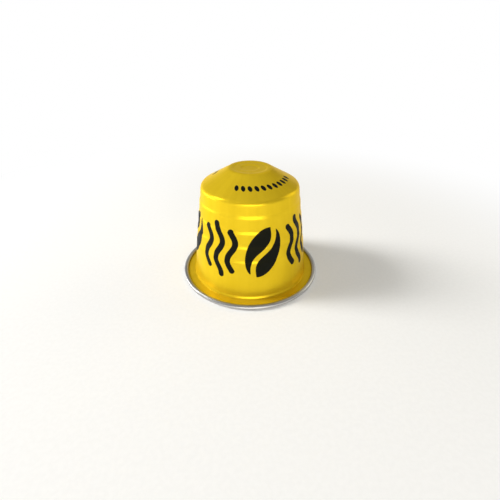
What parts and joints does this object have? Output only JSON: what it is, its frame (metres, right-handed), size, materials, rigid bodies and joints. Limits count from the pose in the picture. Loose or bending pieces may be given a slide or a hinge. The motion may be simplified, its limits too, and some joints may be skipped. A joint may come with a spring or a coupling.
{
  "type": "coffee pod",
  "caption": "Sealed single-serve coffee pod: a deep-drawn lacquered aluminium cup with a stepped tapering wall, a coned end and a rolled rim, closed by a foil lid under its flange.",
  "frame": {"origin": "on the pod's axis, in the plane that the rolled rim stands on", "axes": "+Z along the axis, from the foil lid up to the small coned end; the pod is round, so X and Y are any two directions across it"},
  "size_m": [0.037, 0.037, 0.0287],
  "materials": {
    "yellow_lacquer": "satin metallic yellow lacquer over drawn aluminium",
    "bare_aluminium": "bare rolled aluminium, satin"
  },
  "bodies": {
    "root": {"cup": "yellow_lacquer", "lid_foil": "bare_aluminium"}
  },
  "joints": []
}
